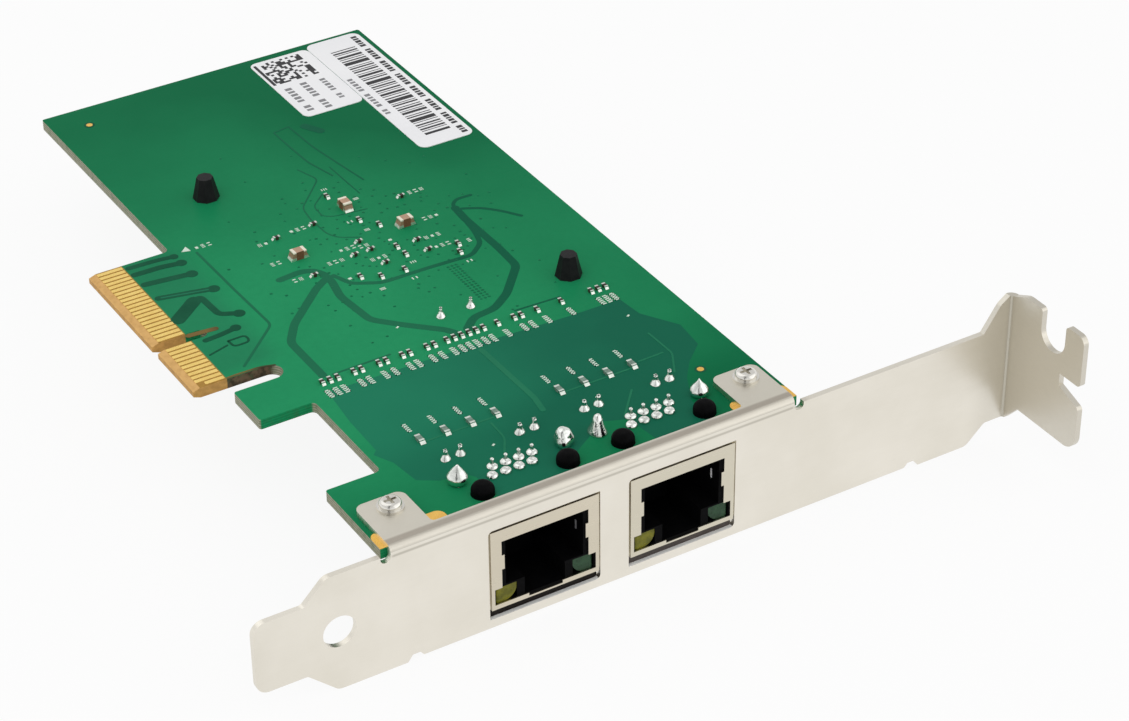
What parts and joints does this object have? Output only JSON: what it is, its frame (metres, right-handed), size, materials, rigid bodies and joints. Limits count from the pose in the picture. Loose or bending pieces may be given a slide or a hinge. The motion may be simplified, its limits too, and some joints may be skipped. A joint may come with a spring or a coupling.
{
  "type": "network interface card",
  "caption": "Green plug-in network card for a server: slotted steel mounting bracket, shielded network jacks, gold edge contacts, finned heatsink under the board and plain adhesive labels.",
  "frame": {"origin": "centre line of the key notch at the leading edge of the gold contacts, on the solder surface of the board", "axes": "+X from the gold contacts across the board, along the bracket towards its screw tab; +Y from the bracket into the board; +Z out of the solder side"},
  "size_m": [0.12, 0.142, 0.0247],
  "materials": {
    "board_green": "gloss",
    "gold_plating": "polished",
    "bracket_steel": "satin",
    "screw_steel": "satin",
    "shield_metal": "satin",
    "housing_black": "matte",
    "contact_gold": "polished",
    "lamp_yellow": "gloss",
    "lamp_green": "gloss",
    "tinned_lead": "satin",
    "solder": "satin",
    "chip_black": "matte",
    "thermal_pad_grey": "matte",
    "heatsink_aluminium": "satin",
    "pin_black": "matte",
    "spring_steel": "satin",
    "crystal_can": "satin",
    "ceramic_tan": "satin",
    "bulk_capacitor_yellow": "satin",
    "label_paper": "matte"
  },
  "bodies": {
    "root": {"circuit_board": "board_green", "edge_contacts_solder_side": "gold_plating", "edge_contacts_component_side": "gold_plating", "ground_pads": "gold_plating", "bracket": "bracket_steel", "bracket_screws": "screw_steel", "bracket_nuts": "screw_steel", "left_jack_shield": "shield_metal", "right_jack_shield": "shield_metal", "left_jack_housing": "housing_black", "right_jack_housing": "housing_black", "left_jack_contacts": "contact_gold", "right_jack_contacts": "contact_gold", "yellow_lamps": "lamp_yellow", "green_lamps": "lamp_green", "yellow_lamp_leads": "tinned_lead", "green_lamp_leads": "tinned_lead", "line_transformer_leads": "tinned_lead", "memory_chip_leads": "tinned_lead", "voltage_regulator_leads": "tinned_lead", "small_chips_ends": "tinned_lead", "termination_resistors_ends": "tinned_lead", "ceramic_capacitors_ends": "tinned_lead", "component_side_chips_ends": "tinned_lead", "bulk_capacitors_ends": "tinned_lead", "signal_solder_joints": "solder", "shield_solder_joints": "solder", "crystal_solder_joints": "solder", "controller_solder_balls": "solder", "controller_chip": "chip_black", "line_transformers": "chip_black", "memory_chips": "chip_black", "voltage_regulators": "chip_black", "power_inductors": "chip_black", "termination_resistors_bodies": "chip_black", "thermal_pad": "thermal_pad_grey", "heatsink": "heatsink_aluminium", "push_pins": "pin_black", "push_pin_springs": "spring_steel", "crystal": "crystal_can", "small_chips_bodies": "ceramic_tan", "ceramic_capacitors_bodies": "ceramic_tan", "component_side_chips_bodies": "ceramic_tan", "bulk_capacitors_bodies": "bulk_capacitor_yellow", "small_label": "label_paper", "long_label": "label_paper"}
  },
  "joints": []
}
